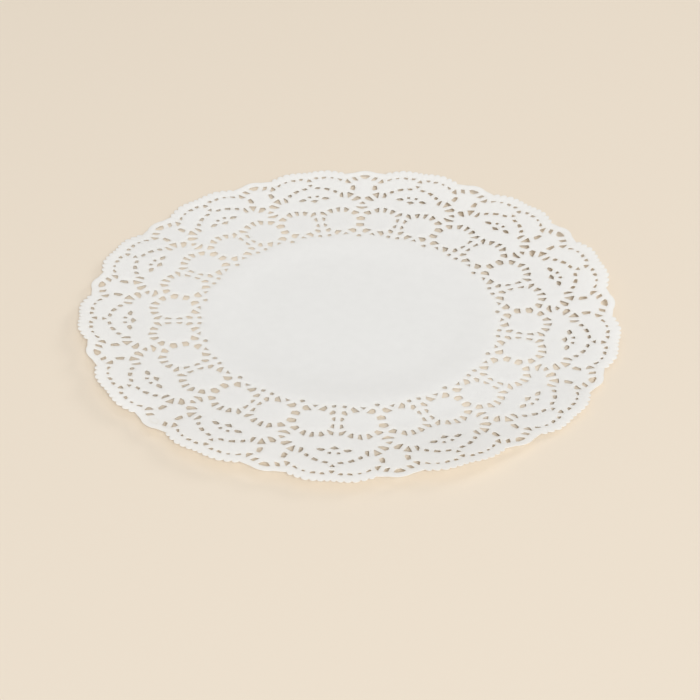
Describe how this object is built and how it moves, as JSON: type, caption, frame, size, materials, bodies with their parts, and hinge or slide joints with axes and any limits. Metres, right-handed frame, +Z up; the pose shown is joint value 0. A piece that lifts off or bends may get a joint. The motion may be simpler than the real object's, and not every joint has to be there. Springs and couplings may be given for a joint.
{
  "type": "paper doily",
  "caption": "Round white lace paper doily with a plain centre, a pierced border of rings and fans, and a scalloped, finely toothed rim that lifts a little from the surface",
  "frame": {"origin": "middle of the plain centre's underside, on the surface that the doily lies on", "axes": "+Z up out of the sheet; the joint between two fans lies 3.5 degrees anticlockwise of +X; the side that is nearest in the picture is -Y"},
  "size_m": [0.2992, 0.2991, 0.0108],
  "materials": {
    "paper": "matt uncoated white paper, die cut and softly embossed"
  },
  "bodies": {
    "root": {"doily": "paper"}
  },
  "joints": []
}
